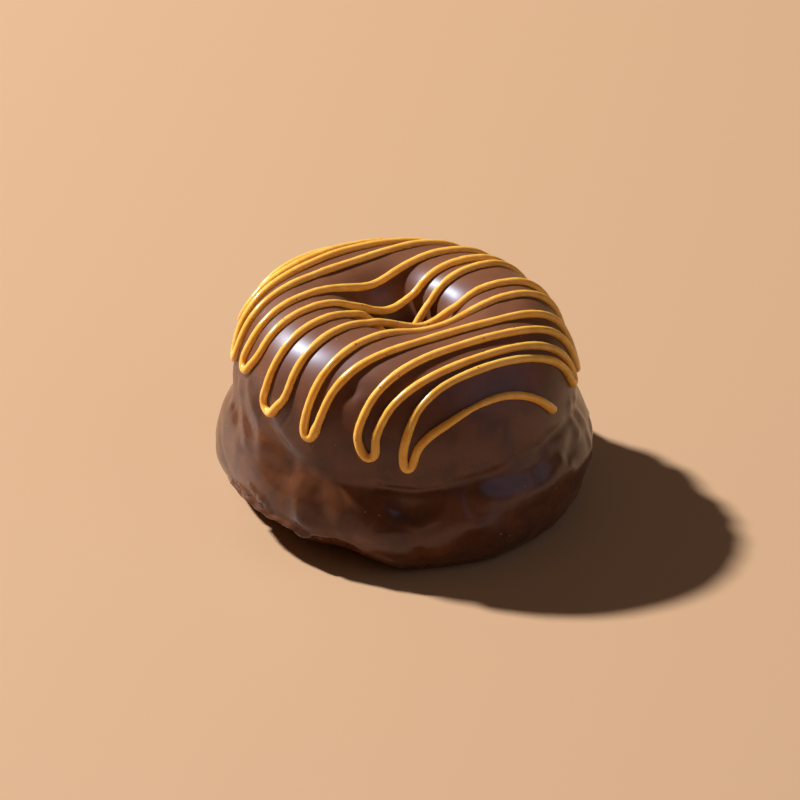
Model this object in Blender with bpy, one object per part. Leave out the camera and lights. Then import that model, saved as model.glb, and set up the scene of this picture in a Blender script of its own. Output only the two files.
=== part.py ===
# Ring doughnut dipped whole in chocolate, with a caramel drizzle piped over it.
# One solid: the drizzle thread is fused to the coating it lies on.
# Sizes are in millimetres until the meshes are made, which are in metres.
# +Z is up, the flat underside is at z = 0, and azimuth 0 is +X.

import math

import bpy
import numpy as np
from mathutils import Vector
from mathutils.bvhtree import BVHTree

MM = 0.001

# Bun: the domed ring above the waist, a rounded box section turned about Z
CREST_RADIUS = 22.3
CREST_HEIGHT = 52.7
BUN_HALF_WIDTH = 19.4
BUN_WIDEST_HEIGHT = 28.0
HOLE_RADIUS = 6.2
HOLE_NARROW_HEIGHT = 30.0
BUN_SQUARENESS = 2.35
HOLE_SQUARENESS = 2.12

# Skirt: the thicker coat of chocolate that ran down and set below the waist
WAIST_RADIUS = 41.5
SKIRT_RADIUS = 45.5
SKIRT_WIDEST_HEIGHT = 12.8
FOOT_RADIUS = 42.6
CONTACT_RADIUS = 38.0
UNDERSIDE_HOLE_RADIUS = 8.6

# Mesh density of the ring
AROUND = 72
OUTER_STEPS = 19
INNER_STEPS = 12

# Drizzle: one thread piped to and fro along parallel strokes
STROKE_DIRECTION = 34.0
THREAD_RADIUS = 0.95
THREAD_SIDES = 6
THREAD_SINK = 0.35
STROKE_STEP = 3.1
STROKE_LONGEST = 41.2
LEG_RISE = 2.6
TURN_STEPS = 5

# Each stroke's distance from the middle line, at places evenly spaced from its left to its right
STROKES = [
    (-32.0, -37.7, -39.25, -38.7, -33.0),
    (-34.3, -34.1, -34.8, -34.3, -31.5),
    (-29.4, -31.5, -32.5, -32.0, -30.0),
    (-26.5, -27.2, -28.1, -28.2, -26.5),
    (-19.1, -21.5, -22.5, -23.3, -22.6),
    (-14.5, -14.2, -15.6, -14.8, -15.2),
    (-7.1, -5.9, -7.2, -7.9, -9.4),
    (-0.5, 0.4, 1.2, 1.5, 1.9),
    (6.1, 6.4, 6.6, 6.6, 5.5),
    (12.0, 12.4, 12.8, 13.6, 11.5),
    (18.5, 19.3, 20.8, 21.2, 19.0),
    (23.4, 24.7, 26.8, 26.2, 23.5),
    (26.5, 28.0, 29.9, 30.0, 28.0),
    (33.5, 34.5, 35.2, 34.8, 33.0),
]
PLACE_SPACING = 15.0

# Height of the thread's two free ends
FREE_END_HEIGHT = 33.0

# Each turn's lowest point, how many degrees it leans round the ring,
# and its half width as a share of the gap between the strokes
TURNS = [
    (28.5, -0.2, 0.36),
    (34.3, 0.5, 0.38),
    (31.0, 1.4, 0.40),
    (33.5, 0.0, 0.38),
    (32.8, -0.5, 0.36),
    (37.0, 0.0, 0.42),
    (34.4, -2.2, 0.38),
    (39.5, 0.0, 0.42),
    (40.4, -2.0, 0.38),
    (40.0, 0.0, 0.46),
    (38.6, 0.0, 0.40),
    (37.5, 0.0, 0.44),
    (40.0, -1.0, 0.45),
]

# Strokes that cross the hole: how deep they sag, where, and over what length
SPAN_HEIGHT = 52.8
SAGS = {
    6: (5.7, 0.8, 10.3),
    7: (13.2, -0.2, 8.8),
    8: (7.3, 0.4, 10.9),
    9: (2.8, -0.6, 8.0),
}

# Uneven places: azimuth, radius and height of the middle, how far it stands out,
# and its half width round the ring and up the side
LUMPS = [
    dict(az=152, r=36, z=46, out=1.1, round=24, up=12),
    dict(az=38, r=36, z=47, out=-1.5, round=18, up=9),
    dict(az=14, r=41, z=39, out=-1.9, round=14, up=9),
    dict(az=95, r=27, z=52, out=-0.5, round=14, up=14),
    dict(az=48, r=12.5, z=48.5, out=1.2, round=8, up=6),
    dict(az=-85, r=15.5, z=51.5, out=-0.5, round=7, up=4),
    dict(az=180, r=41, z=32, out=-0.2, round=20, up=8),
    dict(az=180, r=45, z=14, out=0.9, round=14, up=9),
    dict(az=180, r=44, z=22, out=0.6, round=12, up=5),
    dict(az=-160, r=44, z=7, out=-0.7, round=10, up=5),
    dict(az=-132, r=43, z=22, out=-1.1, round=5.0, up=3.0),
    dict(az=-123, r=45, z=17, out=0.8, round=3.5, up=10),
    dict(az=-88, r=44, z=18.5, out=-1.3, round=7.5, up=3.2),
    dict(az=-90, r=45, z=8, out=0.6, round=12, up=5),
    dict(az=-52, r=45, z=17.5, out=0.7, round=9, up=3.5),
    dict(az=-26, r=43, z=20, out=-1.4, round=4.0, up=2.6),
    dict(az=-8, r=45, z=5, out=-0.9, round=18, up=7),
    dict(az=-38, r=44, z=6, out=-0.6, round=10, up=6),
    dict(az=-80, r=43.5, z=3, out=-0.6, round=12, up=4),
    dict(az=-52, r=43, z=3, out=-0.9, round=14, up=5),
    dict(az=20, r=44, z=19, out=-0.8, round=7, up=4),
    dict(az=48, r=45, z=12, out=0.6, round=9, up=7),
    dict(az=75, r=44, z=20, out=-1.0, round=8, up=3.5),
    dict(az=100, r=45, z=10, out=0.5, round=8, up=7),
    dict(az=128, r=44, z=18, out=-0.9, round=6, up=4),
    dict(az=150, r=45, z=13, out=0.6, round=8, up=6),
]

# Scallops round the foot: how many, how deep, and where they start
SCALLOPS = [(7, 0.4, 40.0), (12, 0.25, 110.0)]

# Waist height where the skirt stands high or low
WAIST_HEIGHT = 27.0
WAIST_SWELLS = [(-90, -4.2, 34), (-155, 2.5, 22), (95, -1.5, 30)]

# Rim of the skirt lifted off the surface: azimuth, lift and half width in degrees
RIM_LIFTS = [(-145, 5.8, 28), (-112, 5.2, 15), (60, 1.6, 24), (125, 2.4, 22)]

CHOCOLATE = (0.055, 0.024, 0.016, 1.0)
CARAMEL = (0.56, 0.30, 0.09, 1.0)


def clear_scene():
    for thing in list(bpy.data.objects):
        bpy.data.objects.remove(thing, do_unlink=True)


def make_material(name, colour, roughness):
    material = bpy.data.materials.new(name)
    material.use_nodes = True
    shader = material.node_tree.nodes["Principled BSDF"]
    shader.inputs["Base Color"].default_value = colour
    shader.inputs["Roughness"].default_value = roughness
    shader.inputs["Metallic"].default_value = 0.0
    return material


def turn_between(a, b):
    """Signed difference of two azimuths, in degrees."""
    return (a - b + 180.0) % 360.0 - 180.0


def sum_of_swells(azimuth, swells):
    total = 0.0
    for middle, height, half_width in swells:
        total += height * math.exp(-(turn_between(azimuth, middle) / half_width) ** 2)
    return total


def smooth_line(points, count):
    """Evenly spaced points on a Catmull-Rom curve through the given ones."""
    points = np.array(points, float)
    padded = np.vstack([2 * points[0] - points[1], points, 2 * points[-1] - points[-2]])
    dense = []
    for k in range(len(points) - 1):
        p0, p1, p2, p3 = padded[k:k + 4]
        for t in np.linspace(0.0, 1.0, 12, endpoint=False):
            bend = (2 * p0 - 5 * p1 + 4 * p2 - p3) * t * t
            twist = (3 * p1 - p0 - 3 * p2 + p3) * t ** 3
            dense.append(0.5 * (2 * p1 + (p2 - p0) * t + bend + twist))
    dense.append(points[-1])
    dense = np.array(dense)
    lengths = np.r_[0.0, np.cumsum(np.linalg.norm(np.diff(dense, axis=0), axis=1))]
    wanted = np.linspace(0.0, lengths[-1], count)
    return np.column_stack([np.interp(wanted, lengths, column) for column in dense.T])


def rounded_arc(half_width, rise, squareness, steps):
    """Quarter of a squared-off ellipse, from its side up to its top."""
    corner = 2.0 / squareness
    arc = []
    for angle in np.linspace(0.0, math.pi / 2, steps):
        arc.append((half_width * math.cos(angle) ** corner, rise * math.sin(angle) ** corner))
    return arc


def outer_outline(azimuth):
    """Radius and height from the crest down the outside to the underside."""
    rise = CREST_HEIGHT - BUN_WIDEST_HEIGHT
    arc = rounded_arc(BUN_HALF_WIDTH, rise, BUN_SQUARENESS, 9)
    points = [(CREST_RADIUS + x, BUN_WIDEST_HEIGHT + y) for x, y in reversed(arc)]
    waist = WAIST_HEIGHT + sum_of_swells(azimuth, WAIST_SWELLS)
    lift = sum_of_swells(azimuth, RIM_LIFTS)
    points[-1] = (points[-1][0], max(points[-1][1], waist + 3.0))
    shoulder = 0.5 * (waist + SKIRT_WIDEST_HEIGHT)
    points.append((WAIST_RADIUS, waist - 0.6))
    points.append((0.35 * WAIST_RADIUS + 0.65 * SKIRT_RADIUS, shoulder))
    points.append((SKIRT_RADIUS, SKIRT_WIDEST_HEIGHT))
    foot = FOOT_RADIUS
    for count, depth, start in SCALLOPS:
        foot += depth * math.sin(math.radians(count * (azimuth - start)))
    points.append((SKIRT_RADIUS - 0.7, 0.55 * SKIRT_WIDEST_HEIGHT + 0.4 * lift))
    points.append((foot, 1.6 + lift))
    points.append((0.5 * (foot + CONTACT_RADIUS) - 0.3 * lift, 0.25 + 0.45 * lift))
    points.append((CONTACT_RADIUS - 0.8 * lift, 0.0))
    return points


def inner_outline():
    """Radius and height from the underside up through the hole to the crest."""
    half_width = CREST_RADIUS - HOLE_RADIUS
    arc = rounded_arc(half_width, CREST_HEIGHT - HOLE_NARROW_HEIGHT, HOLE_SQUARENESS, 7)
    points = [(UNDERSIDE_HOLE_RADIUS, 0.0)]
    points.append((HOLE_RADIUS + 0.9, 3.0))
    points.append((HOLE_RADIUS + 0.1, 9.0))
    points.append((HOLE_RADIUS - 0.1, 19.0))
    points += [(CREST_RADIUS - x, HOLE_NARROW_HEIGHT + y) for x, y in arc]
    return points


def section(azimuth):
    outer = smooth_line(outer_outline(azimuth), OUTER_STEPS)
    inner = smooth_line(inner_outline(), INNER_STEPS)
    middle = 0.5 * (outer[-1] + inner[0])
    outer[-1, 1] = 0.0
    return np.vstack([outer, [middle], inner[:-1]])


def lump_at(azimuth, point):
    total = 0.0
    for lump in LUMPS:
        away = math.radians(turn_between(azimuth, lump["az"])) * lump["r"] / lump["round"]
        up = math.hypot(point[0] - lump["r"], point[1] - lump["z"]) / lump["up"]
        total += lump["out"] * math.exp(-away * away - up * up)
    return total


def uneven(azimuth, outline):
    """Push the outline out or in along its own normal where it is lumpy."""
    ahead = np.roll(outline, -1, axis=0)
    behind = np.roll(outline, 1, axis=0)
    along = ahead - behind
    normals = np.column_stack([-along[:, 1], along[:, 0]])
    normals /= np.linalg.norm(normals, axis=1)[:, None]
    moved = outline.copy()
    for k, point in enumerate(outline):
        if point[1] > 0.01:
            moved[k] += normals[k] * lump_at(azimuth, point)
            moved[k, 1] = max(moved[k, 1], 0.2)
    return moved


def ring_mesh():
    vertices = []
    for k in range(AROUND):
        azimuth = 360.0 * k / AROUND
        turn = math.radians(azimuth)
        for radius, height in uneven(azimuth, section(azimuth)):
            vertices.append((radius * math.cos(turn), radius * math.sin(turn), height))
    vertices = np.array(vertices)
    size = len(vertices) // AROUND
    faces = []
    for k in range(AROUND):
        here = k * size
        there = (k + 1) % AROUND * size
        for j in range(size):
            up = (j + 1) % size
            faces.append((here + j, here + up, there + up, there + j))
    middle = 0.5 * (vertices.min(axis=0) + vertices.max(axis=0))
    vertices[:, :2] -= middle[:2]
    return vertices, faces


def object_from(name, vertices, faces, material):
    mesh = bpy.data.meshes.new(name)
    mesh.from_pydata([tuple(v) for v in np.array(vertices) * MM], [], faces)
    mesh.materials.append(material)
    mesh.shade_smooth()
    thing = bpy.data.objects.new(name, mesh)
    bpy.context.scene.collection.objects.link(thing)
    return thing


def surface_of(vertices, faces):
    return BVHTree.FromPolygons([Vector(v) for v in vertices], faces)


def on_top(surface, x, y):
    spot, _, _, _ = surface.ray_cast(Vector((x, y, 2 * CREST_HEIGHT)), Vector((0, 0, -1)))
    return spot.z if spot else 0.0


def on_side(surface, azimuth, height):
    turn = math.radians(azimuth)
    outward = Vector((math.cos(turn), math.sin(turn), 0.0))
    start = outward * 2 * SKIRT_RADIUS + Vector((0, 0, height))
    spot, _, _, _ = surface.ray_cast(start, -outward)
    return spot


def smooth_value(values, place):
    """Smooth curve through evenly spaced values, straight on beyond its ends."""
    last = len(values) - 1
    if place <= 0.0:
        return values[0] + (values[1] - values[0]) * place
    if place >= last:
        return values[last] + (values[last] - values[last - 1]) * (place - last)
    k = int(place)
    t = place - k
    before = values[k - 1] if k > 0 else 2 * values[0] - values[1]
    after = values[k + 2] if k + 2 <= last else 2 * values[last] - values[last - 1]
    here, there = values[k], values[k + 1]
    bend = (2 * before - 5 * here + 4 * there - after) * t * t
    twist = (3 * here - before - 3 * there + after) * t ** 3
    return 0.5 * (2 * here + (there - before) * t + bend + twist)


def stroke_place(number, along):
    """Plan position on a stroke, a given way from its middle."""
    middle_place = 0.5 * (len(STROKES[number]) - 1)
    across = smooth_value(STROKES[number], middle_place + along / PLACE_SPACING)
    turn = math.radians(STROKE_DIRECTION)
    x = along * math.cos(turn) - across * math.sin(turn)
    y = along * math.sin(turn) + across * math.cos(turn)
    return x, y


def reach_of(surface, number, side, height):
    """How far a stroke runs on its left or right before it is down at a height."""
    along = side * STROKE_LONGEST
    while on_top(surface, *stroke_place(number, along)) < height:
        along -= side * 0.1
    return along


def turn_after(number, side):
    """Which turn a stroke ends in on its left or right, if any."""
    starts_right = number % 2 == 0
    turn = number if starts_right == (side < 0) else number - 1
    return turn if 0 <= turn < len(TURNS) else None


def leg_height(number, side):
    turn = turn_after(number, side)
    return TURNS[turn][0] + 2 * LEG_RISE if turn is not None else FREE_END_HEIGHT


def stroke_points(surface, number, start, end):
    points = []
    count = max(2, round(abs(end - start) / STROKE_STEP))
    for along in np.linspace(start, end, count + 1):
        x, y = stroke_place(number, along)
        height = on_top(surface, x, y) + THREAD_SINK * THREAD_RADIUS
        if number in SAGS and math.hypot(x, y) < CREST_RADIUS:
            depth, lowest, half_length = SAGS[number]
            sag = depth * math.exp(-((along - lowest) / half_length) ** 2)
            height = max(height, SPAN_HEIGHT - sag)
        points.append(Vector((x, y, height)))
    return points


def azimuth_where_down(surface, number, side, height):
    x, y = stroke_place(number, reach_of(surface, number, side, height))
    return math.degrees(math.atan2(y, x))


def turn_points(surface, number, side):
    """The loop from one stroke to the next, low on the side of the ring."""
    lowest, lean, narrowing = TURNS[number]
    before = azimuth_where_down(surface, number, side, lowest + LEG_RISE)
    after = azimuth_where_down(surface, number + 1, side, lowest + LEG_RISE)
    spread = turn_between(after, before)
    middle = before + 0.5 * spread + lean
    half = narrowing * spread
    drop = min(abs(math.radians(half)) * WAIST_RADIUS, LEG_RISE)
    points = []
    for angle in np.linspace(0.0, math.pi, TURN_STEPS):
        azimuth = middle - half * math.cos(angle)
        height = lowest + drop * (1.0 - math.sin(angle))
        points.append(on_side(surface, azimuth, height))
    return points


def thread_points(surface):
    points = []
    for number in range(len(STROKES)):
        side = 1 if number % 2 == 0 else -1
        start = reach_of(surface, number, side, leg_height(number, side))
        end = reach_of(surface, number, -side, leg_height(number, -side))
        points += stroke_points(surface, number, start, end)
        if number < len(STROKES) - 1:
            points += turn_points(surface, number, -side)
    return points


def thread_mesh(surface, points):
    """A tube along the thread, a little sunk into what it lies on."""
    vertices = []
    for k, point in enumerate(points):
        ahead = points[min(k + 1, len(points) - 1)]
        behind = points[max(k - 1, 0)]
        along = (ahead - behind).normalized()
        _, normal, _, _ = surface.find_nearest(point)
        across = along.cross(normal).normalized()
        up = across.cross(along).normalized()
        for side in range(THREAD_SIDES):
            turn = 2.0 * math.pi * (side + 0.5) / THREAD_SIDES
            place = point + (across * math.cos(turn) + up * math.sin(turn)) * THREAD_RADIUS
            vertices.append(tuple(place))
    faces = []
    for k in range(len(points) - 1):
        here = k * THREAD_SIDES
        there = here + THREAD_SIDES
        for side in range(THREAD_SIDES):
            beside = (side + 1) % THREAD_SIDES
            faces.append((here + side, there + side, there + beside, here + beside))
    last = (len(points) - 1) * THREAD_SIDES
    faces.append(tuple(range(THREAD_SIDES)))
    faces.append(tuple(last + side for side in reversed(range(THREAD_SIDES))))
    return vertices, faces


def fuse(body, pieces):
    """Join the pieces to the body by one union."""
    group = bpy.data.collections.new("to_fuse")
    bpy.context.scene.collection.children.link(group)
    for piece in pieces:
        bpy.context.scene.collection.objects.unlink(piece)
        group.objects.link(piece)
    union = body.modifiers.new("fuse", "BOOLEAN")
    union.operation = "UNION"
    union.operand_type = "COLLECTION"
    union.collection = group
    union.solver = "EXACT"
    union.material_mode = "TRANSFER"
    bpy.context.view_layer.objects.active = body
    bpy.ops.object.modifier_apply(modifier=union.name)
    for piece in pieces:
        bpy.data.objects.remove(piece, do_unlink=True)
    bpy.data.collections.remove(group)


def main():
    clear_scene()
    chocolate = make_material("chocolate", CHOCOLATE, 0.35)
    caramel = make_material("caramel", CARAMEL, 0.4)
    vertices, faces = ring_mesh()
    body = object_from("doughnut", vertices, faces, chocolate)
    surface = surface_of(vertices, faces)
    points = thread_points(surface)
    thread = object_from("drizzle", *thread_mesh(surface, points), caramel)
    fuse(body, [thread])


main()
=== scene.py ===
# Ring doughnut coated in dark chocolate, with caramel drizzled to and fro over it.
# The looks: a finely shaped coat, the drizzle, and the bubbles that set in the coat.
import math
import random

import bpy
import numpy as np
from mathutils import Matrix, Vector
from mathutils.bvhtree import BVHTree


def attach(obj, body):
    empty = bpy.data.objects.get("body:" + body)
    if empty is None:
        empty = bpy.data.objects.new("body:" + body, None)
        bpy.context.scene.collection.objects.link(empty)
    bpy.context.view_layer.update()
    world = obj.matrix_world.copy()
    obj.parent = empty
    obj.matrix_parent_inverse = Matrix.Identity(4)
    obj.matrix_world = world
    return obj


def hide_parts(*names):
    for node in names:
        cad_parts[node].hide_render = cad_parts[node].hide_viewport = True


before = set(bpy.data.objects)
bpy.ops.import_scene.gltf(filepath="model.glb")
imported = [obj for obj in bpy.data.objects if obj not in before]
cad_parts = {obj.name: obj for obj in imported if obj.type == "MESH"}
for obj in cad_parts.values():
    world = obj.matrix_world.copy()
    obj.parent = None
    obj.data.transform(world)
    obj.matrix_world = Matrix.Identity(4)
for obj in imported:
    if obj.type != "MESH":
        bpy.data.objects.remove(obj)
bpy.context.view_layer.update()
mm = 0.001  # shapes are worked out in millimetres

coatForm = {
    "crestRadius": 22.3,
    "crestHeight": 52.7,
    "bunHalfWidth": 19.4,
    "bunWidestHeight": 28.0,
    "bunSquareness": 2.35,
    "bunPoints": 9,
    "bunClearsWaist": 3.0,
    "holeSquareness": 2.12,
    "holePoints": 7,
    "holeRadius": 6.2,
    "holeNarrowHeight": 30.0,
    "holeSteps": [(0.9, 3.0), (0.1, 9.0), (-0.1, 19.0)],  # how much wider, at what height
    "waistRadius": 41.5,
    "waistHeight": 27.0,
    "waistTuck": 0.6,
    "shoulder": (0.35, 0.65),  # shares of the waist's radius and the skirt's
    "skirtRadius": 45.5,
    "skirtWidestHeight": 12.8,
    "lowSkirt": (0.7, 0.55, 0.4),  # how far in, how high as a share, and how much of the lift it takes
    "footRadius": 42.6,
    "footHeight": 1.6,
    "footTurn": (0.3, 0.25, 0.45),  # how far the lift draws it in, how high, and how much it is lifted
    "contactRadius": 38.0,
    "contactDrawnIn": 0.8,
    "undersideHoleRadius": 8.6,
    "around": 430,
    "outerSteps": 172,
    "underSteps": 12,
    "innerSteps": 41,
    "fineBelow": 34.0,  # the skirt is meshed finer than the smooth dome
    "fineBlend": 1.5,
    "fineness": 1.9,
    "rimFineness": 3.2,
    "rimHeight": 9.8,
    "rimReach": 1.8,
    "easings": 24,  # how far the turn from bun to skirt is rounded off
    "easedAbove": 16.0,
    "scallops": [(7, 0.4, 40.0), (12, 0.25, 110.0)],  # how many, how deep, where they start
    "nicks": [(23, 0.12, 15.0), (41, 0.07, 70.0)],  # smaller unevenness of the foot
    "waistSwells": [(-90, -4.2, 34), (-155, 2.5, 22), (95, -1.5, 30)],
    "rimLifts": [(-145, 5.8, 28), (-112, 5.2, 15), (60, 1.6, 24), (125, 2.4, 22)],
    "lip": 0.35,  # the coat is thicker along its lower rim
    "lipHeight": 2.9,
    "lipWidth": 0.8,
    "underside": 0.01,  # what lies lower is flat
    "clearance": 0.15,  # and the rest stays this far above it
}

# Broad uneven places: where, how far out, how wide round and up
coatLumps = [
    dict(az=152, r=36, z=46, out=1.1, round=24, up=12),
    dict(az=38, r=36, z=47, out=-1.5, round=18, up=9),
    dict(az=14, r=41, z=39, out=-1.9, round=14, up=9),
    dict(az=95, r=27, z=52, out=-0.5, round=14, up=14),
    dict(az=42, r=12.0, z=47.5, out=2.3, round=9, up=7),
    dict(az=-85, r=15.5, z=51.5, out=-0.5, round=7, up=4),
    dict(az=180, r=41, z=32, out=-0.2, round=20, up=8),
    dict(az=180, r=45, z=14, out=0.9, round=14, up=9),
    dict(az=180, r=44, z=22, out=0.6, round=12, up=5),
    dict(az=-160, r=44, z=7, out=-0.7, round=10, up=5),
    dict(az=-143, r=42, z=25.5, out=0.5, round=2.8, up=2.4),
    dict(az=-140, r=45, z=10, out=-0.3, round=14, up=5),
    dict(az=-50, r=42, z=25.5, out=0.7, round=18, up=2.6),
    dict(az=-132, r=43, z=22, out=-1.1, round=5.0, up=3.0),
    dict(az=-123, r=45, z=17, out=0.8, round=3.5, up=10),
    dict(az=-88, r=44, z=18.5, out=-1.3, round=7.5, up=3.2),
    dict(az=-90, r=45, z=8, out=0.6, round=12, up=5),
    dict(az=-52, r=45, z=17.5, out=0.7, round=9, up=3.5),
    dict(az=-26, r=43, z=20, out=-0.9, round=4.0, up=2.8),
    dict(az=-8, r=45, z=5, out=-0.9, round=18, up=7),
    dict(az=-38, r=44, z=6, out=-0.6, round=10, up=6),
    dict(az=-80, r=43.5, z=3, out=-0.6, round=12, up=4),
    dict(az=-52, r=43, z=3, out=-0.9, round=14, up=5),
    dict(az=20, r=44, z=19, out=-0.8, round=7, up=4),
    dict(az=48, r=45, z=12, out=0.6, round=9, up=7),
    dict(az=75, r=44, z=20, out=-1.0, round=8, up=3.5),
    dict(az=100, r=45, z=10, out=0.5, round=8, up=7),
    dict(az=128, r=44, z=18, out=-0.9, round=6, up=4),
    dict(az=150, r=45, z=13, out=0.6, round=8, up=6),
    dict(az=-110.5, r=37.5, z=45.5, out=-0.5, round=2.4, up=2.2),
    dict(az=-106, r=38.0, z=44.5, out=0.3, round=1.8, up=1.8),
]

# Folds, creases and drips down the outside, as azimuth and height along each one
coatFolds = [
    dict(path=[(180, 36), (-176, 30), (-172, 26)], out=0.35, width=1.3),
    dict(path=[(-171, 35), (-168, 29), (-162, 26)], out=-0.4, width=1.5),
    dict(path=[(-163, 35), (-163, 30), (-156, 26.5), (-152, 24)], out=0.45, width=1.6),
    dict(path=[(-160, 34), (-157, 29), (-152, 27.5)], out=-0.25, width=1.2),
    dict(path=[(-156, 37), (-153, 34), (-149.5, 31.4), (-144, 26.5)], out=0.5, width=1.7),
    dict(path=[(-147, 36), (-142, 32.7), (-136, 28.5), (-131, 25.8), (-119, 22.5)], out=-0.6, width=2.2),
    dict(path=[(-170, 17), (-163, 14), (-158, 12)], out=-0.3, width=1.4),
    dict(path=[(-126.7, 25), (-126, 20), (-123.3, 13)], out=0.35, width=1.5),
    dict(path=[(-118, 19), (-113, 14), (-112, 9)], out=-0.3, width=1.6),
    dict(path=[(-119, 24.2), (-110, 24.6), (-100, 25.6), (-87, 24.6)], out=0.2, width=1.4),
    dict(path=[(-99, 23.0), (-94, 22.8), (-87, 22.2), (-79, 22.6)], out=-0.4, width=0.9),
    dict(path=[(-79, 22.6), (-74, 23.6), (-60, 25), (-40, 26.5), (-20, 27.2), (0, 26.8)],
         out=-0.15, width=1.5),
    dict(path=[(-98.3, 23.4), (-97.7, 21.4)], out=0.35, width=0.6),
    dict(path=[(-99.8, 24.1), (-99.3, 22.4)], out=-0.4, width=0.7),
    dict(path=[(-98.5, 19.6), (-96, 17.6), (-92, 16.4), (-86, 15.2), (-79, 17.5)], out=0.4, width=1.2),
    dict(path=[(-108, 15.5), (-106, 9)], out=-0.3, width=1.0),
    dict(path=[(-86, 9), (-84, 4), (-83, 1.5)], out=-0.4, width=0.9),
    dict(path=[(-66, 20.5), (-56, 20), (-48, 20)], out=0.3, width=2.6),
    dict(path=[(-70, 21), (-68, 15)], out=-0.25, width=1.3),
    dict(path=[(-41, 25.5), (-36, 24.4), (-31, 22.4), (-29, 20.4)], out=-0.3, width=1.6),
    dict(path=[(-21.3, 31), (-20, 27), (-18, 22)], out=0.45, width=1.3),
    dict(path=[(-15.2, 30), (-12, 25), (-9.5, 20), (-9.5, 15)], out=0.5, width=1.5),
    dict(path=[(-145.2, 15.1), (-141.3, 13.8), (-140, 11.6)], out=0.7, width=0.5),
    dict(path=[(-139.7, 14.3), (-136.3, 10.8)], out=0.6, width=0.55),
    dict(path=[(-152, 12.6), (-146.5, 12.4)], out=0.6, width=0.45),
    dict(path=[(-149, 11.5), (-144.5, 11.3)], out=0.55, width=0.4),
    dict(path=[(-158, 10.7), (-154, 11.2), (-149, 10.6), (-146, 11.0), (-142, 10.2), (-139, 10.5),
               (-136, 9.9), (-132, 10.3), (-129, 9.7), (-126.5, 9.9), (-124, 9.2), (-121.5, 9.2),
               (-117, 7.2)], out=1.2, width=0.5),
    dict(path=[(-156, 7.4), (-143, 7.2), (-131, 7.0), (-125, 6.6), (-121, 5.2)], out=-1.3, width=1.2),
]

# Unevenness with no pattern: how many, how high, how wide, and between which heights
roughness = {
    "seed": 11,
    "skirt": dict(count=420, high=0.36, wide=(1.6, 4.6), low=2.5, top=27.0),
    "dome": dict(count=120, high=0.10, wide=(4.0, 9.0), low=28.0, top=52.0),
    "squat": 0.8,
    "drawsIn": (0.12, 1.2),  # how the outside narrows above the skirt's widest part
}

# The side away from the camera gets its folds at random
randomFolds = {
    "count": 34,
    "azimuth": (-8.0, 172.0),
    "start": (14.0, 31.0),
    "lean": (-6.0, 6.0),
    "drop": (4.0, 11.0),
    "out": (0.2, 0.5),
    "width": (0.9, 1.6),
}


def deselectAll():
    bpy.ops.object.select_all(action="DESELECT")


def turnBetween(a, b):
    return (a - b + 180.0) % 360.0 - 180.0


def sumOfSwells(azimuths, swells):
    total = 0.0
    for middle, height, halfWidth in swells:
        total = total + height * np.exp(-(turnBetween(azimuths, middle) / halfWidth) ** 2)
    return total


def smoothLine(points, count, crowd=None):
    # points along a curve through the given ones, evenly spaced or crowded where crowd is high
    points = np.array(points, float)
    padded = np.vstack([2 * points[0] - points[1], points, 2 * points[-1] - points[-2]])
    t = np.linspace(0.0, 1.0, 12, endpoint=False)[:, None]
    dense = []
    for k in range(len(points) - 1):
        p0, p1, p2, p3 = padded[k:k + 4]
        bend = (2 * p0 - 5 * p1 + 4 * p2 - p3) * t * t
        twist = (3 * p1 - p0 - 3 * p2 + p3) * t ** 3
        dense.append(0.5 * (2 * p1 + (p2 - p0) * t + bend + twist))
    dense = np.vstack(dense + [points[-1:]])
    steps = np.linalg.norm(np.diff(dense, axis=0), axis=1)
    if crowd:
        steps = steps * crowd(0.5 * (dense[1:] + dense[:-1]))
    lengths = np.r_[0.0, np.cumsum(steps)]
    wanted = np.linspace(0.0, lengths[-1], count)
    return np.column_stack([np.interp(wanted, lengths, column) for column in dense.T])


def roundedArc(halfWidth, rise, squareness, count):
    # a quarter of an oval, fuller at its corner the squarer it is
    corner = 2.0 / squareness
    angles = np.linspace(0.0, math.pi / 2, count)
    return [(halfWidth * math.cos(a) ** corner, rise * math.sin(a) ** corner) for a in angles]


def outerOutline(azimuth):
    # radius and height from the crest down the outside to the underside
    form = coatForm
    rise = form["crestHeight"] - form["bunWidestHeight"]
    arc = roundedArc(form["bunHalfWidth"], rise, form["bunSquareness"], form["bunPoints"])
    points = [(form["crestRadius"] + x, form["bunWidestHeight"] + y) for x, y in reversed(arc)]
    waist = form["waistHeight"] + sumOfSwells(azimuth, form["waistSwells"])
    lift = sumOfSwells(azimuth, form["rimLifts"])
    points[-1] = (points[-1][0], max(points[-1][1], waist + form["bunClearsWaist"]))
    points.append((form["waistRadius"], waist - form["waistTuck"]))
    ofWaist, ofSkirt = form["shoulder"]
    shoulder = ofWaist * form["waistRadius"] + ofSkirt * form["skirtRadius"]
    points.append((shoulder, 0.5 * (waist + form["skirtWidestHeight"])))
    points.append((form["skirtRadius"], form["skirtWidestHeight"]))
    inward, share, lifted = form["lowSkirt"]
    points.append((form["skirtRadius"] - inward, share * form["skirtWidestHeight"] + lifted * lift))
    foot = form["footRadius"]
    for count, depth, start in form["scallops"] + form["nicks"]:
        foot += depth * math.sin(math.radians(count * (azimuth - start)))
    points.append((foot, form["footHeight"] + lift))
    inward, height, lifted = form["footTurn"]
    points.append((0.5 * (foot + form["contactRadius"]) - inward * lift, height + lifted * lift))
    points.append((form["contactRadius"] - form["contactDrawnIn"] * lift, 0.0))
    return points


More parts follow.
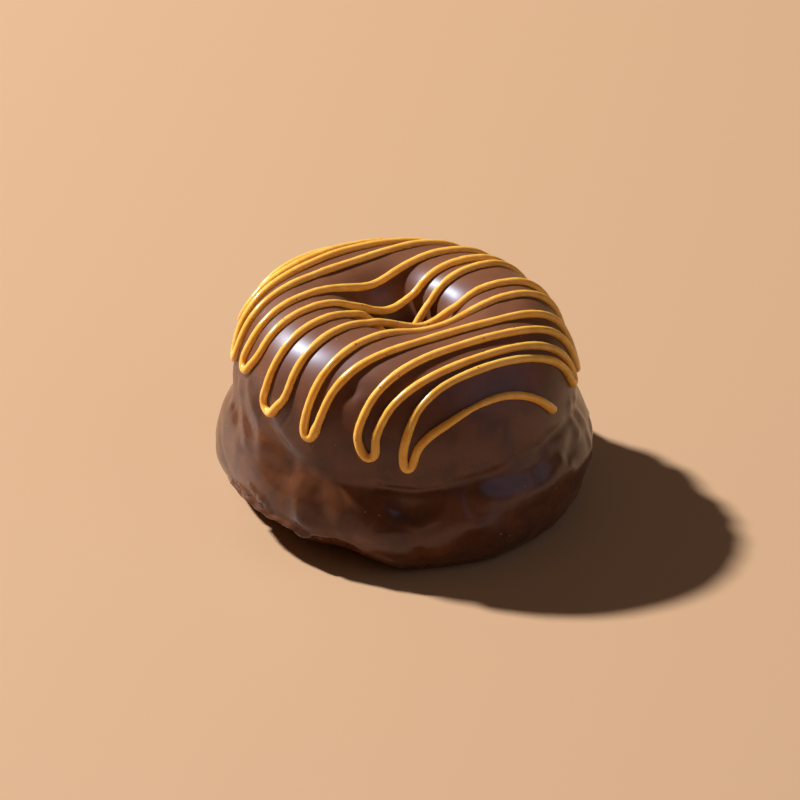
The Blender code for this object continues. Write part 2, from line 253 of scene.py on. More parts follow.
def innerOutline():
    # radius and height from the underside up through the hole to the crest
    form = coatForm
    halfWidth = form["crestRadius"] - form["holeRadius"]
    rise = form["crestHeight"] - form["holeNarrowHeight"]
    arc = roundedArc(halfWidth, rise, form["holeSquareness"], form["holePoints"])
    points = [(form["undersideHoleRadius"], 0.0)]
    points += [(form["holeRadius"] + wider, height) for wider, height in form["holeSteps"]]
    points += [(form["crestRadius"] - x, form["holeNarrowHeight"] + y) for x, y in arc]
    return points


def lowShare(places):
    # one on the skirt and none on the dome
    return 1.0 / (1.0 + np.exp((places[:, 1] - coatForm["fineBelow"]) / coatForm["fineBlend"]))


def crowdedLow(places):
    nearRim = np.exp(-((places[:, 1] - coatForm["rimHeight"]) / coatForm["rimReach"]) ** 2)
    return 1.0 + (coatForm["fineness"] - 1.0) * lowShare(places) + coatForm["rimFineness"] * nearRim


def eased(line, times):
    # the line with its kinks rounded off
    for _ in range(times):
        line = np.vstack([line[:1], 0.25 * line[:-2] + 0.5 * line[1:-1] + 0.25 * line[2:], line[-1:]])
    return line


def section(azimuth):
    # one closed cut through the ring, from the crest round to the crest
    outer = smoothLine(outerOutline(azimuth), coatForm["outerSteps"], crowdedLow)
    low = lowShare(outer)[:, None] * (outer[:, 1:] > coatForm["easedAbove"])
    outer = low * eased(outer, coatForm["easings"]) + (1.0 - low) * outer
    inner = smoothLine(innerOutline(), coatForm["innerSteps"])
    outer[-1, 1] = 0.0
    under = np.linspace(outer[-1], inner[0], coatForm["underSteps"] + 2)[1:-1]
    return np.vstack([outer, under, inner[:-1]])


def lumpsAt(azimuths, radii, heights, lumps):
    # how far each place stands out for the lumps round it
    total = np.zeros_like(radii)
    for lump in lumps:
        away = np.radians(turnBetween(azimuths, lump["az"])) * lump["r"] / lump["round"]
        up = np.hypot(radii - lump["r"], heights - lump["z"]) / lump["up"]
        total += lump["out"] * np.exp(-away * away - up * up)
    return total


def foldsAt(azimuths, heights, folds):
    # how far each place stands out for the folds that it lies near
    total = np.zeros_like(heights)
    perDegree = math.radians(1.0) * coatForm["skirtRadius"]
    for fold in folds:
        first = fold["path"][0][0]
        spots = [(turnBetween(az, first) * perDegree, z) for az, z in fold["path"]]
        across = turnBetween(azimuths, first) * perDegree
        nearest = np.full_like(heights, 1e9)
        for (x0, z0), (x1, z1) in zip(spots, spots[1:]):
            dx, dz = x1 - x0, z1 - z0
            share = ((across - x0) * dx + (heights - z0) * dz) / (dx * dx + dz * dz)
            share = np.clip(share, 0.0, 1.0)
            gap = np.hypot(across - x0 - share * dx, heights - z0 - share * dz)
            nearest = np.minimum(nearest, gap)
        total += fold["out"] * np.exp(-(nearest / fold["width"]) ** 2)
    return total


def scatteredLumps(chance, kind):
    lumps = []
    inward, power = roughness["drawsIn"]
    for _ in range(kind["count"]):
        height = chance.uniform(kind["low"], kind["top"])
        wide = chance.uniform(*kind["wide"])
        high = chance.uniform(-kind["high"], kind["high"])
        radius = coatForm["skirtRadius"] - inward * max(0.0, height - coatForm["skirtWidestHeight"]) ** power
        azimuth = chance.uniform(-180.0, 180.0)
        up = roughness["squat"] * wide
        lumps.append(dict(az=azimuth, r=radius, z=height, out=high, round=wide, up=up))
    return lumps


def scatteredFolds(chance):
    # each one bends a little on its way down
    folds = []
    for _ in range(randomFolds["count"]):
        azimuth = chance.uniform(*randomFolds["azimuth"])
        height = chance.uniform(*randomFolds["start"])
        lean = chance.uniform(*randomFolds["lean"])
        drop = chance.uniform(*randomFolds["drop"])
        path = [(azimuth + a * lean, height - b * drop) for a, b in ((0.0, 0.0), (0.6, 0.5), (1.0, 1.0))]
        out = chance.choice((-1, 1)) * chance.uniform(*randomFolds["out"])
        folds.append(dict(path=path, out=out, width=chance.uniform(*randomFolds["width"])))
    return folds


def lipAt(azimuths, heights):
    # the thicker lower rim, which is higher where the rim is lifted
    lift = sumOfSwells(azimuths, coatForm["rimLifts"])
    waves = np.sin(np.radians(9 * azimuths)) * np.sin(np.radians(5 * azimuths + 40))
    above = (heights - coatForm["lipHeight"] - lift) / coatForm["lipWidth"]
    return coatForm["lip"] * (1.0 + 0.5 * waves) * np.exp(-above ** 2)


def coatPlaces():
    # places on the coat as rows round the ring and columns along the section
    azimuths = np.linspace(0.0, 360.0, coatForm["around"], endpoint=False)
    grid = np.array([section(azimuth) for azimuth in azimuths])
    along = np.roll(grid, -1, axis=1) - np.roll(grid, 1, axis=1)
    normals = np.stack([-along[..., 1], along[..., 0]], axis=-1)
    normals /= np.linalg.norm(normals, axis=-1, keepdims=True)
    turned = np.repeat(azimuths[:, None], grid.shape[1], axis=1)
    radii, heights = grid[..., 0], grid[..., 1]
    chance = random.Random(roughness["seed"])
    out = lumpsAt(turned, radii, heights, coatLumps)
    out += lumpsAt(turned, radii, heights, scatteredLumps(chance, roughness["skirt"]))
    out += lumpsAt(turned, radii, heights, scatteredLumps(chance, roughness["dome"]))
    outside = np.arange(grid.shape[1]) < coatForm["outerSteps"]
    folds = foldsAt(turned, heights, coatFolds + scatteredFolds(chance)) + lipAt(turned, heights)
    low = radii > 0.5 * (coatForm["crestRadius"] + coatForm["waistRadius"])
    out += folds * (outside[None, :] & low)
    flat = heights < coatForm["underside"]
    out[flat] = 0.0
    grid = grid + normals * out[..., None]
    grid[..., 1] = np.where(flat, 0.0, np.maximum(grid[..., 1], coatForm["clearance"]))
    turns = np.radians(turned)
    return np.stack([grid[..., 0] * np.cos(turns), grid[..., 0] * np.sin(turns), grid[..., 1]], -1)


def makeCoat():
    # a plain ring, drawn out to the doughnut's sections
    sides = coatForm["outerSteps"] + coatForm["underSteps"] + coatForm["innerSteps"] - 1
    ring = coatForm["crestRadius"] * mm
    deselectAll()
    bpy.ops.mesh.primitive_torus_add(
        major_segments=coatForm["around"], minor_segments=sides,
        major_radius=ring, minor_radius=coatForm["bunHalfWidth"] * mm
    )
    coat = bpy.context.active_object
    coat.name = "chocolateCoat"
    count = len(coat.data.vertices)
    spots = np.zeros(count * 3)
    coat.data.vertices.foreach_get("co", spots)
    spots = spots.reshape(-1, 3)
    row = np.degrees(np.arctan2(spots[:, 1], spots[:, 0])) / 360.0 * coatForm["around"]
    away = np.hypot(spots[:, 0], spots[:, 1]) - ring
    column = np.arctan2(away, spots[:, 2]) / (2 * math.pi) * sides
    row = np.round(row).astype(int) % coatForm["around"]
    column = np.round(column).astype(int) % sides
    places = coatPlaces()
    middle = 0.5 * (places.reshape(-1, 3).min(axis=0) + places.reshape(-1, 3).max(axis=0))
    places[..., :2] -= middle[:2]
    coat.data.vertices.foreach_set("co", (places[row, column] * mm).ravel())
    coat.data.update()
    bpy.ops.object.mode_set(mode="EDIT")
    bpy.ops.mesh.select_all(action="SELECT")
    bpy.ops.mesh.normals_make_consistent(inside=False)
    bpy.ops.object.mode_set(mode="OBJECT")
    bpy.ops.object.shade_smooth()
    return coat


drizzleForm = {
    "direction": 34.0,  # degrees from +X
    "radius": 0.98,
    "sink": 0.35,
    "step": 3.1,
    "longest": 41.2,
    "legRise": 2.6,
    "turnSteps": 5,
    "placeSpacing": 15.0,
    "searchStep": 0.1,
    "freeEndHeight": 33.0,
    "spanHeight": 52.8,
    "spanBlend": 1.2,
    "fineStep": 0.4,
    "easings": 8,
    "lowGrowth": 0.12,  # the thread is thicker where it ran down
    "lowFrom": 41.0,
    "lowTo": 35.0,
    "uneven": 0.025,
    "slowWaves": ((0.55, 0.0), (0.23, 1.0)),  # how quickly it swells along the thread, and from where
    "quickWaves": (0.6, 1.9, 2.0, 0.31),  # share, quickness, and how much and how slowly that drifts
    "endLength": 1.1,  # of its rounded ends, as a share of the radius
    "endLeast": 0.02,
    "roundness": 5,
}

# Each stroke's distance from the middle line, at places evenly spaced from its left to its right
strokes = [
    (-32.0, -37.7, -39.25, -38.7, -33.0),
    (-34.3, -34.1, -34.8, -34.3, -31.5),
    (-29.4, -31.5, -32.5, -32.0, -30.0),
    (-26.5, -27.2, -28.1, -28.2, -26.5),
    (-19.1, -21.5, -22.5, -23.3, -22.6),
    (-14.5, -14.2, -15.6, -14.8, -15.2),
    (-7.1, -5.9, -7.2, -7.9, -9.4),
    (-0.5, 0.4, 1.2, 1.5, 1.9),
    (6.1, 6.4, 6.6, 6.6, 5.5),
    (12.0, 12.4, 12.8, 13.6, 11.5),
    (18.5, 19.3, 20.8, 21.2, 19.0),
    (23.4, 24.7, 26.8, 26.2, 23.5),
    (26.5, 28.0, 29.9, 30.0, 28.0),
    (33.5, 34.5, 35.2, 34.8, 33.0),
]

# Each turn's lowest point, how many degrees it leans round the ring,
# and its half width as a share of the gap between the strokes
turns = [
    (28.5, -0.2, 0.36),
    (34.3, 0.5, 0.38),
    (31.0, 1.4, 0.40),
    (33.5, 0.0, 0.38),
    (32.8, -0.5, 0.36),
    (37.0, 0.0, 0.42),
    (34.4, -2.2, 0.38),
    (39.5, 0.0, 0.42),
    (39.0, -2.0, 0.38),
    (40.0, 0.0, 0.46),
    (36.4, 0.0, 0.40),
    (37.5, 0.0, 0.44),
    (40.0, -1.0, 0.45),
]

# Strokes over the hole: how deep they sag, where, and over what length
sags = {
    6: (5.7, 0.8, 10.3),
    7: (13.2, -0.2, 8.8),
    8: (7.3, 0.4, 10.9),
    9: (2.8, -0.6, 8.0),
}

# Places where the thread is thicker or thinner, by how much of its radius, and how far that reaches
threadSwells = [
    dict(at=(-20.2, -36.2, 35.4), more=0.34, reach=1.3),
    dict(at=(-21.1, -34.4, 37.5), more=-0.14, reach=1.1),
    dict(at=(16.2, -36.6, 42.5), more=-0.28, reach=4.0),
    dict(at=(14.4, -37.7, 42.1), more=0.18, reach=0.9),
    dict(at=(-14.5, -33.3, 47.6), more=0.12, reach=1.2),
]


def surfaceOf(thing):
    # nearest places and rays on a piece, in millimetres
    points = [v.co / mm for v in thing.data.vertices]
    return BVHTree.FromPolygons(points, [tuple(p.vertices) for p in thing.data.polygons])


def onTop(surface, x, y):
    spot = surface.ray_cast(Vector((x, y, 2 * coatForm["crestHeight"])), Vector((0, 0, -1)))[0]
    return spot.z if spot else 0.0


def onSide(surface, azimuth, height):
    # the place on the outside, and the way it faces
    turn = math.radians(azimuth)
    outward = Vector((math.cos(turn), math.sin(turn), 0.0))
    start = outward * 2 * coatForm["skirtRadius"] + Vector((0, 0, height))
    return surface.ray_cast(start, -outward)[:2]


def smoothValue(values, place):
    # a smooth curve through evenly spaced values, straight on beyond its ends
    last = len(values) - 1
    if place <= 0.0:
        return values[0] + (values[1] - values[0]) * place
    if place >= last:
        return values[last] + (values[last] - values[last - 1]) * (place - last)
    k = int(place)
    t = place - k
    before = values[k - 1] if k > 0 else 2 * values[0] - values[1]
    after = values[k + 2] if k + 2 <= last else 2 * values[last] - values[last - 1]
    here, there = values[k], values[k + 1]
    bend = (2 * before - 5 * here + 4 * there - after) * t * t
    twist = (3 * here - before - 3 * there + after) * t ** 3
    return 0.5 * (2 * here + (there - before) * t + bend + twist)


def strokePlace(number, along):
    # where a stroke lies in plan, so far along from its middle
    middlePlace = 0.5 * (len(strokes[number]) - 1)
    across = smoothValue(strokes[number], middlePlace + along / drizzleForm["placeSpacing"])
    turn = math.radians(drizzleForm["direction"])
    x = along * math.cos(turn) - across * math.sin(turn)
    y = along * math.sin(turn) + across * math.cos(turn)
    return x, y


def reachOf(surface, number, side, height):
    # how far a stroke goes before it has run down to the height
    along = side * drizzleForm["longest"]
    while onTop(surface, *strokePlace(number, along)) < height:
        along -= side * drizzleForm["searchStep"]
    return along


def turnAfter(number, side):
    startsRight = number % 2 == 0
    turn = number if startsRight == (side < 0) else number - 1
    return turn if 0 <= turn < len(turns) else None


def legHeight(number, side):
    turn = turnAfter(number, side)
    if turn is None:
        return drizzleForm["freeEndHeight"]
    return turns[turn][0] + 2 * drizzleForm["legRise"]


def strokePoints(surface, number, start, end):
    points = []
    count = max(2, round(abs(end - start) / drizzleForm["step"]))
    lift = drizzleForm["sink"] * drizzleForm["radius"]
    for along in np.linspace(start, end, count + 1):
        x, y = strokePlace(number, along)
        height = onTop(surface, x, y) + lift
        if number in sags and math.hypot(x, y) < coatForm["crestRadius"]:
            depth, lowest, halfLength = sags[number]
            sag = depth * math.exp(-((along - lowest) / halfLength) ** 2)
            height = max(height, drizzleForm["spanHeight"] - sag)
        points.append((x, y, height))
    return points


def azimuthWhereDown(surface, number, side, height):
    x, y = strokePlace(number, reachOf(surface, number, side, height))
    return math.degrees(math.atan2(y, x))


def turnPoints(surface, number, side):
    lowest, lean, narrowing = turns[number]
    rise = drizzleForm["legRise"]
    before = azimuthWhereDown(surface, number, side, lowest + rise)
    after = azimuthWhereDown(surface, number + 1, side, lowest + rise)
    spread = turnBetween(after, before)
    middle = before + 0.5 * spread + lean
    half = narrowing * spread
    drop = min(abs(math.radians(half)) * coatForm["waistRadius"], rise)
    points = []
    for angle in np.linspace(0.0, math.pi, drizzleForm["turnSteps"]):
        azimuth = middle - half * math.cos(angle)
        height = lowest + drop * (1.0 - math.sin(angle))
        points.append(tuple(onSide(surface, azimuth, height)[0]))
    return points


def drizzleRoute(surface):
    points = []
    for number in range(len(strokes)):
        side = 1 if number % 2 == 0 else -1
        start = reachOf(surface, number, side, legHeight(number, side))
        end = reachOf(surface, number, -side, legHeight(number, -side))
        points += strokePoints(surface, number, start, end)
        if number < len(strokes) - 1:
            points += turnPoints(surface, number, -side)
    return points


def laidDown(surface, route):
    # the route made smooth, and lying on the coat except where it spans the hole
    length = sum(math.dist(a, b) for a, b in zip(route, route[1:]))
    fine = smoothLine(route, round(length / drizzleForm["fineStep"]))
    fine = eased(fine, drizzleForm["easings"])
    lift = drizzleForm["sink"] * drizzleForm["radius"]
    laid = []
    for spot in fine:
        spot = Vector(spot)
        near, normal, _, _ = surface.find_nearest(spot)
        above = (spot - near).dot(normal) - lift
        share = min(1.0, max(0.0, above / drizzleForm["spanBlend"]))
        laid.append(near + normal * (lift + max(0.0, above) * share * share * (3 - 2 * share)))
    return [Vector(spot) for spot in eased(np.array(laid), drizzleForm["easings"])]


def threadSizes(laid):
    # the thread's radius at each point, as a share of its usual radius
    form = drizzleForm
    share, quickness, drift, driftQuickness = form["quickWaves"]
    sizes = []
    for k, spot in enumerate(laid):
        gone = k * form["fineStep"]
        size = 1.0 + form["uneven"] * sum(math.sin(gone * pace + start) for pace, start in form["slowWaves"])
        size += share * form["uneven"] * math.sin(gone * quickness + drift * math.sin(gone * driftQuickness))
        low = (form["lowFrom"] - spot.z) / (form["lowFrom"] - form["lowTo"])
        size += form["lowGrowth"] * min(1.0, max(0.0, low))
        for swell in threadSwells:
            away = (spot - Vector(swell["at"])).length / swell["reach"]
            size += swell["more"] * math.exp(-away * away)
        toEnd = min(k, len(laid) - 1 - k) * form["fineStep"] / (form["endLength"] * form["radius"])
        if toEnd < 1.0:
            size *= math.sqrt(max(form["endLeast"], 1.0 - (1.0 - toEnd) ** 2))
        sizes.append(size)
    return sizes


def makeDrizzle(coat):
    # a path laid over the coat, given the thread's thickness
    surface = surfaceOf(coat)
    laid = laidDown(surface, drizzleRoute(surface))
    deselectAll()
    bpy.ops.curve.primitive_nurbs_path_add()
    drizzle = bpy.context.active_object
    drizzle.name = "caramelDrizzle"
    curve = drizzle.data
    curve.splines.clear()
    spline = curve.splines.new("POLY")
    spline.points.add(len(laid) - 1)
    for point, spot, size in zip(spline.points, laid, threadSizes(laid)):
        point.co = (*(spot * mm), 1.0)
        point.radius = size
    curve.bevel_depth = drizzleForm["radius"] * mm
    curve.bevel_resolution = drizzleForm["roundness"]
    curve.use_fill_caps = True
    bpy.ops.object.convert(target="MESH")
    bpy.ops.object.shade_smooth()
    return drizzle


# Bubbles seen on the top and the side, in plan and as azimuth and height
bubbleForm = {
    "onDome": [
        (-17.0, 15.5), (-19.5, 6.9), (-16.6, 9.0), (-12.1, 10.1), (-18.7, -0.6), (-23.4, -3.8),
        (-25.5, -6.3), (-15.8, -21.7), (-13.8, -30.7), (14.4, -35.0), (27.5, -17.0),
    ],
    "onSkirt": [
        (-149.4, 42.2), (-149.7, 41.1), (-148.8, 40.0), (-167.3, 22.0), (-159.4, 19.6), (-152.3, 15.9),
        (-121.2, 31.3), (-113.1, 33.0), (-97.7, 17.3), (-102.1, 17.8), (-16.3, 16.2), (-39.1, 17.2),
        (-42.7, 16.6), (-37.6, 15.4), (-60.1, 9.9), (-56.8, 8.3), (-50.6, 19.9),
    ],
    "more": 45,
    "moreAzimuth": (-20.0, 200.0),
    "moreHeight": (4.0, 46.0),
    "seed": 5,
    "radius": (0.09, 0.17),
    "standsOut": 0.15,
    "flatness": 0.75,
    "rings": 6,
    "segments": 10,
    # painted highlight: the bubbles are coloured paler than the coat, standing in for their glints
    "colour": (0.42, 0.30, 0.22, 1),
    "roughness": 0.25,
}


def bubblePlaces(surface):
    chance = random.Random(bubbleForm["seed"])
    above = 2 * coatForm["crestHeight"]
    down = Vector((0, 0, -1))
    places = [surface.ray_cast(Vector((x, y, above)), down)[:2] for x, y in bubbleForm["onDome"]]
    sides = list(bubbleForm["onSkirt"])
    for _ in range(bubbleForm["more"]):
        sides.append((chance.uniform(*bubbleForm["moreAzimuth"]), chance.uniform(*bubbleForm["moreHeight"])))
    places += [onSide(surface, azimuth, height) for azimuth, height in sides]
    return [(spot, normal, chance.uniform(*bubbleForm["radius"])) for spot, normal in places]


def makeBubbles(coat):
    # small domes on the coat, each a flattened ball sunk to its middle
    surface = surfaceOf(coat)
    deselectAll()
    bpy.ops.mesh.primitive_uv_sphere_add(
        segments=bubbleForm["segments"], ring_count=bubbleForm["rings"], radius=mm
    )
    first = bpy.context.active_object
    first.name = "coatBubbles"
    copies = [first]
    places = bubblePlaces(surface)
    for _ in places[1:]:
        copy = first.copy()
        copy.data = first.data.copy()
        bpy.context.scene.collection.objects.link(copy)
        copies.append(copy)
    for copy, (spot, normal, radius) in zip(copies, places):
        copy.location = (spot + normal * bubbleForm["standsOut"] * radius) * mm
        copy.rotation_euler = normal.to_track_quat("Z", "Y").to_euler()
        copy.scale = (radius, radius, bubbleForm["flatness"] * radius)
    deselectAll()
    for copy in copies:
        copy.select_set(True)
    bpy.context.view_layer.objects.active = first
    bpy.ops.object.join()
    bpy.ops.object.transform_apply(location=True, rotation=True, scale=True)
    bpy.ops.object.shade_smooth()
    return first


def feed(tree, value, socket):
    # a fixed value is set on the socket, and anything else is linked to it
    if isinstance(value, (float, tuple)):
        socket.default_value = value
    else:
        tree.links.new(value, socket)


def addNode(tree, kind, **values):
    node = tree.nodes.new(kind)
    for name, value in values.items():
        feed(tree, value, node.inputs[name])
    return node


def calculated(tree, operation, *values):
    node = tree.nodes.new("ShaderNodeMath")
    node.operation = operation
    for value, socket in zip(values, node.inputs):
        feed(tree, value, socket)
    return node.outputs["Value"]


pouredLook = {
    "detail": 3.0,
    "fineRoughness": 0.6,
    "broadRoughness": 0.55,
    "distortion": 0.6,
    "fineShare": 0.18,  # of the fine grain in the height
    "patchesFrom": 0.36,
    "patchesTo": 0.66,
}


def grainGroup():
    # fine and broad unevenness of a set, poured surface
    group = bpy.data.node_groups.new("pouredGrain", "ShaderNodeTree")
    for name in ("Vector", "Fine", "Broad"):
        kind = "NodeSocketVector" if name == "Vector" else "NodeSocketFloat"
        group.interface.new_socket(name=name, in_out="INPUT", socket_type=kind)
    for name in ("Height", "Patches", "Grain"):
        group.interface.new_socket(name=name, in_out="OUTPUT", socket_type="NodeSocketFloat")
    look = pouredLook
    start = group.nodes.new("NodeGroupInput")
    end = group.nodes.new("NodeGroupOutput")
    fine = addNode(
        group, "ShaderNodeTexNoise", Vector=start.outputs["Vector"], Scale=start.outputs["Fine"],
        Detail=look["detail"], Roughness=look["fineRoughness"]
    ).outputs["Fac"]
    broad = addNode(
        group, "ShaderNodeTexNoise", Vector=start.outputs["Vector"], Scale=start.outputs["Broad"],
        Detail=look["detail"], Roughness=look["broadRoughness"], Distortion=look["distortion"]
    ).outputs["Fac"]
    height = calculated(group, "MULTIPLY_ADD", fine, look["fineShare"], broad)
    patches = rangeOf(group, broad, look["patchesFrom"], look["patchesTo"], 0.0, 1.0)
    for name, value in (("Height", height), ("Patches", patches), ("Grain", fine)):
        group.links.new(value, end.inputs[name])
    return group


def speckGroup():
    # a mask of scattered small specks
    group = bpy.data.node_groups.new("smallSpecks", "ShaderNodeTree")
    group.interface.new_socket(name="Vector", in_out="INPUT", socket_type="NodeSocketVector")
    for name in ("Scale", "Size", "Share"):
        group.interface.new_socket(name=name, in_out="INPUT", socket_type="NodeSocketFloat")
    group.interface.new_socket(name="Mask", in_out="OUTPUT", socket_type="NodeSocketFloat")
    start = group.nodes.new("NodeGroupInput")
    end = group.nodes.new("NodeGroupOutput")
    cells = addNode(
        group, "ShaderNodeTexVoronoi", Vector=start.outputs["Vector"], Scale=start.outputs["Scale"]
    )
    apart = addNode(group, "ShaderNodeSeparateColor", Color=cells.outputs["Color"])
    near = calculated(group, "LESS_THAN", cells.outputs["Distance"], start.outputs["Size"])
    chosen = calculated(group, "LESS_THAN", apart.outputs["Red"], start.outputs["Share"])
    group.links.new(calculated(group, "MULTIPLY", near, chosen), end.inputs["Mask"])
    return group


def placeGroup(tree, group, where, **values):
    node = tree.nodes.new("ShaderNodeGroup")
    node.node_tree = group
    tree.links.new(where, node.inputs["Vector"])
    for name, value in values.items():
        feed(tree, value, node.inputs[name])
    return node


def mixColours(tree, share, first, second):
    mix = tree.nodes.new("ShaderNodeMix")
    mix.data_type = "RGBA"
    tree.links.new(share, mix.inputs["Factor"])
    feed(tree, first, mix.inputs[6])  # the colour sockets come after those for numbers and vectors
    feed(tree, second, mix.inputs[7])
    return mix.outputs[2]


def bumpFrom(tree, height, look):
    bump = addNode(tree, "ShaderNodeBump", Height=height, Strength=look["bump"], Distance=look["bumpDepth"])
    return bump.outputs["Normal"]


def rangeOf(tree, value, fromMin, fromMax, toMin, toMax):
    node = addNode(tree, "ShaderNodeMapRange", Value=value)
    for name, number in (("From Min", fromMin), ("From Max", fromMax), ("To Min", toMin), ("To Max", toMax)):
        node.inputs[name].default_value = number
    return node.outputs["Result"]


def newFinish(name):
    material = bpy.data.materials.new(name)
    material.use_nodes = True
    return material, material.node_tree, material.node_tree.nodes["Principled BSDF"]


chocolateLook = {
    "dark": (0.078, 0.027, 0.012, 1),
    "warm": (0.138, 0.049, 0.019, 1),
    "paintedLitTop": (0.26, 0.098, 0.046, 1),  # painted light: the coat is painted paler over the crest, where it is lit most
    "paintedLitTopFrom": 0.037,
    "paintedLitTopTo": 0.050,
    "paintedLitTopShare": 0.42,
    "fine": 1700.0,
    "broad": 120.0,
    "bump": 0.13,
    "bumpDepth": 0.00012,
    "skirtRoughness": 0.2,
    "domeRoughness": 0.35,
    "glossyBelow": 0.026,
    "satinAbove": 0.038,
    "grain": 0.10,
    "shine": (0.62, 0.75, 1.0, 1),
    "bend": 1.5,
}

caramelLook = {
    "light": (0.90, 0.53, 0.105, 1),
    "deep": (0.82, 0.43, 0.065, 1),
    "speck": (0.34, 0.09, 0.015, 1),
    "fine": 1500.0,
    "broad": 260.0,
    "speckScale": 700.0,
    "speckSize": 0.16,
    "speckShare": 0.10,
    "bump": 0.12,
    "bumpDepth": 0.0001,
    "grainRange": (0.3, 0.7),
    "roughness": (0.17, 0.27),
    "bend": 1.48,
    "glow": 0.5,
    "glowColours": (1.0, 0.55, 0.15),
    "glowDepth": 0.0012,
}


def chocolateFinish(grain):
    look = chocolateLook
    material, tree, shader = newFinish("chocolate")
    where = tree.nodes.new("ShaderNodeTexCoord").outputs["Object"]
    poured = placeGroup(tree, grain, where, Fine=look["fine"], Broad=look["broad"])
    colour = mixColours(tree, poured.outputs["Patches"], look["dark"], look["warm"])
    height = addNode(tree, "ShaderNodeSeparateXYZ", Vector=where).outputs["Z"]
    # painted light: the top of the coat is painted paler towards the crest, where it takes the most light
    crest = rangeOf(tree, height, look["paintedLitTopFrom"], look["paintedLitTopTo"], 0.0, look["paintedLitTopShare"])
    colour = mixColours(tree, crest, colour, look["paintedLitTop"])
    tree.links.new(colour, shader.inputs["Base Color"])
    satin = rangeOf(
        tree, height, look["glossyBelow"], look["satinAbove"],
        look["skirtRoughness"], look["domeRoughness"]
    )
    uneven = calculated(tree, "MULTIPLY_ADD", poured.outputs["Grain"], look["grain"], satin)
    tree.links.new(uneven, shader.inputs["Roughness"])
    tree.links.new(bumpFrom(tree, poured.outputs["Height"], look), shader.inputs["Normal"])
    shader.inputs["IOR"].default_value = look["bend"]
    shader.inputs["Specular Tint"].default_value = look["shine"]
    return material


def bubbleGlintFinish():
    # painted highlight: a pale colour that stands in for the glints on the small bubbles
    material, _, shader = newFinish("bubblePaintedGlint")
    shader.inputs["Base Color"].default_value = bubbleForm["colour"]
    shader.inputs["Roughness"].default_value = bubbleForm["roughness"]
    return material


def caramelFinish(grain, specks):
    look = caramelLook
    material, tree, shader = newFinish("caramel")
    where = tree.nodes.new("ShaderNodeTexCoord").outputs["Object"]
    poured = placeGroup(tree, grain, where, Fine=look["fine"], Broad=look["broad"])
    dots = placeGroup(
        tree, specks, where, Scale=look["speckScale"], Size=look["speckSize"], Share=look["speckShare"]
    )
    colour = mixColours(tree, poured.outputs["Patches"], look["deep"], look["light"])
    colour = mixColours(tree, dots.outputs["Mask"], colour, look["speck"])
    tree.links.new(colour, shader.inputs["Base Color"])
    gloss = rangeOf(tree, poured.outputs["Grain"], *look["grainRange"], *look["roughness"])
    tree.links.new(gloss, shader.inputs["Roughness"])
    tree.links.new(bumpFrom(tree, poured.outputs["Height"], look), shader.inputs["Normal"])
    shader.inputs["IOR"].default_value = look["bend"]
    shader.inputs["Subsurface Weight"].default_value = look["glow"]
    shader.inputs["Subsurface Radius"].default_value = look["glowColours"]
    shader.inputs["Subsurface Scale"].default_value = look["glowDepth"]
    return material


view = {
    "elevation": 29.5,
    "distance": 1006.0,
    "focal": 4100.0,  # pixels, in a frame of 800
    "frame": 800.0,
    "foot": (404.0, 484.1),  # where the middle of the underside shows in the frame
    "sensor": 36.0,
}


def makeCamera():
    rise = math.radians(view["elevation"])
    forward = Vector((0, math.cos(rise), -math.sin(rise)))
    up = Vector((0, math.sin(rise), math.cos(rise)))
    right = Vector((1, 0, 0))
    half = 0.5 * view["frame"]
    across = (view["foot"][0] - half) / view["focal"] * view["distance"]
    high = -(view["foot"][1] - half) / view["focal"] * view["distance"]
    place = -(forward * view["distance"] + right * across + up * high)
    deselectAll()
    bpy.ops.object.camera_add(location=place * mm, rotation=(math.pi / 2 - rise, 0, 0))
    camera = bpy.context.active_object
    camera.name = "camera"
    camera.data.sensor_width = view["sensor"]
    camera.data.lens = view["focal"] / view["frame"] * view["sensor"]
    bpy.context.scene.camera = camera
    bpy.context.scene.view_settings.view_transform = "Standard"


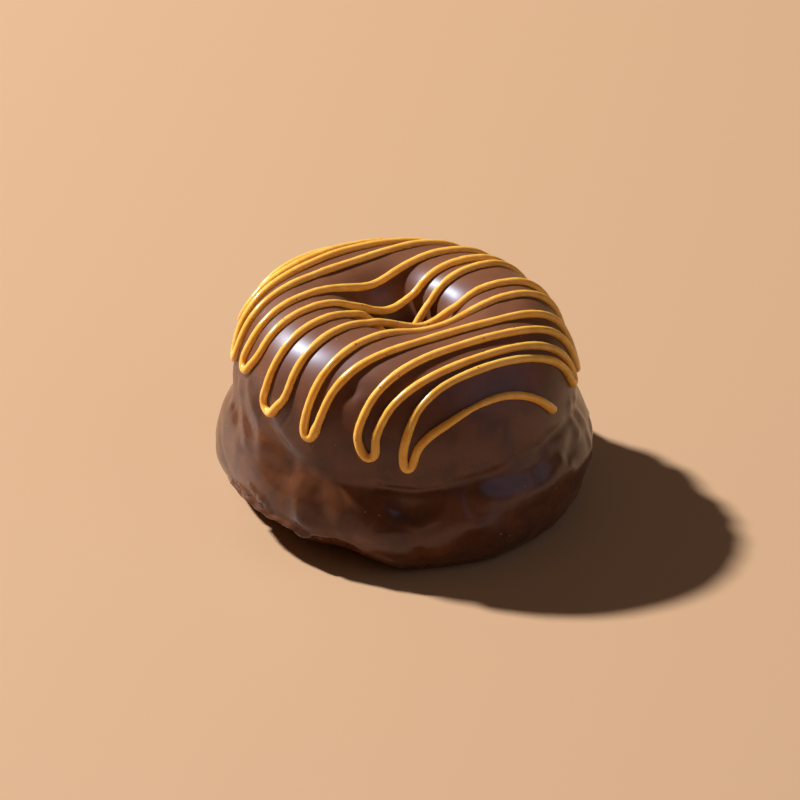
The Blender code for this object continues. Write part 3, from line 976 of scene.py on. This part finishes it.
studio = {
    "floorSize": 8.0,
    "floorColour": (0.52, 0.32, 0.18, 1),
    "floorRoughness": 0.5,
    "keyFrom": (153.0, 45.0),  # azimuth and height in degrees
    "keyDistance": 3.0,
    "keySize": 0.22,
    "keyPower": 178.0,
    "keyColour": (0.95, 0.97, 1.0),
    "fillFrom": (-24.0, 30.0),
    "fillDistance": 1.2,
    "fillSize": 1.3,
    "fillPower": 1.9,
    "fillColour": (0.66, 0.80, 1.0),
    "worldColour": (0.085, 0.050, 0.029, 1),
    "worldStrength": 1.0,
}


def aimedLight(name, azimuth, height, distance, size, power, colour):
    a, h = math.radians(azimuth), math.radians(height)
    outward = Vector((math.cos(a) * math.cos(h), math.sin(a) * math.cos(h), math.sin(h)))
    deselectAll()
    bpy.ops.object.light_add(type="AREA", location=outward * distance)
    lamp = bpy.context.active_object
    lamp.name = name
    lamp.rotation_euler = outward.to_track_quat("Z", "Y").to_euler()
    lamp.data.shape = "DISK"
    lamp.data.size = size
    lamp.data.energy = power
    lamp.data.color = colour


def makeStudio():
    deselectAll()
    bpy.ops.mesh.primitive_plane_add(size=studio["floorSize"], location=(0, 0, 0))
    floor = bpy.context.active_object
    floor.name = "floor"
    material, _, shader = newFinish("floorPaint")
    shader.inputs["Base Color"].default_value = studio["floorColour"]
    shader.inputs["Roughness"].default_value = studio["floorRoughness"]
    floor.data.materials.append(material)
    for lamp in ("key", "fill"):
        aimedLight(
            lamp + "Light", *studio[lamp + "From"], studio[lamp + "Distance"], studio[lamp + "Size"],
            studio[lamp + "Power"], studio[lamp + "Colour"]
        )
    world = bpy.data.worlds.new("studioWorld")
    world.use_nodes = True
    background = world.node_tree.nodes["Background"]
    background.inputs["Color"].default_value = studio["worldColour"]
    background.inputs["Strength"].default_value = studio["worldStrength"]
    bpy.context.scene.world = world


def finishPiece(piece, material):
    piece.data.materials.clear()
    piece.data.materials.append(material)
    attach(piece, "root")


makeCamera()
makeStudio()
print("studio and camera are set")

grain = grainGroup()
specks = speckGroup()
print("node groups are built")

coat = makeCoat()
finishPiece(coat, chocolateFinish(grain))
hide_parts("doughnut")
print("coat:", len(coat.data.polygons), "faces")

drizzle = makeDrizzle(coat)
finishPiece(drizzle, caramelFinish(grain, specks))
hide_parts("doughnut")
print("drizzle:", len(drizzle.data.polygons), "faces")

bubbles = makeBubbles(coat)
finishPiece(bubbles, bubbleGlintFinish())
print("bubbles:", len(bubbles.data.polygons), "faces")
